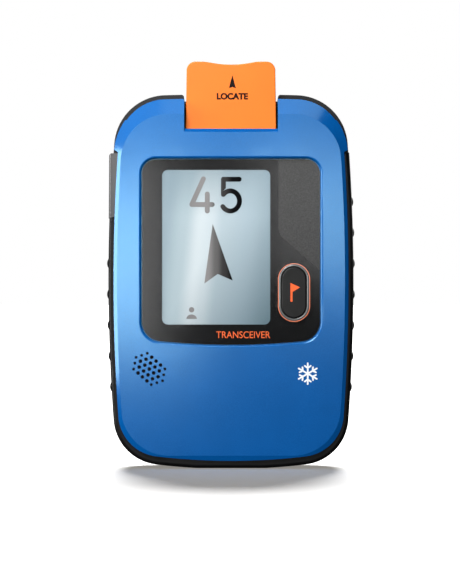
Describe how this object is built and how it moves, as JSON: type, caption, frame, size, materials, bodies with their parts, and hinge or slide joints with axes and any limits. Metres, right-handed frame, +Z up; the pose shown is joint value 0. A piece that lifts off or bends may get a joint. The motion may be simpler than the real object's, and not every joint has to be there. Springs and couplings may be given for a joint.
{
  "type": "avalanche transceiver",
  "caption": "Hand-held avalanche transceiver with a screen, a flag button, a speaker and a search tab that slides out of its top edge.",
  "frame": {"origin": "middle of the base, half way through the depth of the body", "axes": "+X to the right as the screen is read, +Y from the screen to the back, +Z up along the body towards the search tab"},
  "size_m": [0.0802, 0.0219, 0.1314],
  "materials": {
    "blue_shell": "satin moulded",
    "dark_shell": "fine texture",
    "black_rubber": "moulded, slightly satin",
    "window": "polished",
    "black_print": "printed film",
    "screen": "reflective screen",
    "white_plastic": "moulded",
    "orange_plastic": "satin moulded",
    "orange_ring": "clear lacquered",
    "clear_plastic": "frosted",
    "key_grey": "satin",
    "silicone": "matt",
    "foam": "open foam",
    "steel": "brushed",
    "nickel": "plated",
    "brass": "turned",
    "copper_wire": "enamelled winding",
    "ferrite": "sintered",
    "board": "solder mask",
    "chip": "moulded package",
    "flat_cable": "polyimide film",
    "cell_wrap": "shrink wrap",
    "paper": "pressed pulp",
    "wire": "insulated",
    "label": "blank"
  },
  "bodies": {
    "housing": {"front_shell": "blue_shell", "rear_shell": "dark_shell", "grip_band": "black_rubber", "display_window": "window", "mask_film": "black_print", "window_gasket": "foam", "lcd_glass": "screen", "lcd_backlight": "white_plastic", "lcd_frame": "white_plastic", "lcd_flex": "flat_cable", "button_ring": "orange_ring", "button_light_guide": "clear_plastic", "button_membrane": "silicone", "button_switch": "chip", "speaker_mesh": "steel", "speaker_gasket": "foam", "speaker_frame": "steel", "speaker_cone": "paper", "speaker_magnet": "nickel", "speaker_leads": "wire", "tab_channel": "dark_shell", "tab_catch_plates": "steel", "main_board": "board", "board_chips": "chip", "hall_sensor": "chip", "usb_socket": "steel", "usb_seal": "silicone", "battery_pack": "cell_wrap", "battery_foam": "foam", "battery_leads": "wire", "antenna_x_core": "ferrite", "antenna_x_coil": "copper_wire", "antenna_y_core": "ferrite", "antenna_y_coil": "copper_wire", "antenna_z_core": "ferrite", "antenna_z_coil": "copper_wire", "antenna_brackets": "white_plastic", "housing_screws": "steel", "screw_inserts": "brass", "board_screws": "steel", "seal_ring": "silicone", "power_switch_bezel": "dark_shell", "lanyard_bar": "steel", "rear_label": "label"},
    "tab": {"search_tab": "orange_plastic", "tab_magnet": "nickel"},
    "button": {"flag_button": "key_grey"},
    "cover": {"usb_cover": "black_rubber"},
    "switch": {"power_switch": "orange_plastic", "power_switch_magnet": "nickel"}
  },
  "joints": [
    {"name": "tab_slide", "type": "slide", "parent": "housing", "child": "tab", "axis": [0, 0, -1], "range_m": [0, 0.0113]},
    {"name": "button_press", "type": "slide", "parent": "housing", "child": "button", "axis": [0, 1, 0], "range_m": [0, 0.0005], "stiffness_N_per_m": 3000},
    {"name": "cover_hinge", "type": "hinge", "parent": "housing", "child": "cover", "pos_m": [-0.0393, 0, 0.08065], "axis": [0, -1, 0], "range_deg": [0, 110]},
    {"name": "switch_slide", "type": "slide", "parent": "housing", "child": "switch", "axis": [1, 0, 0], "range_m": [0, 0.006]}
  ]
}
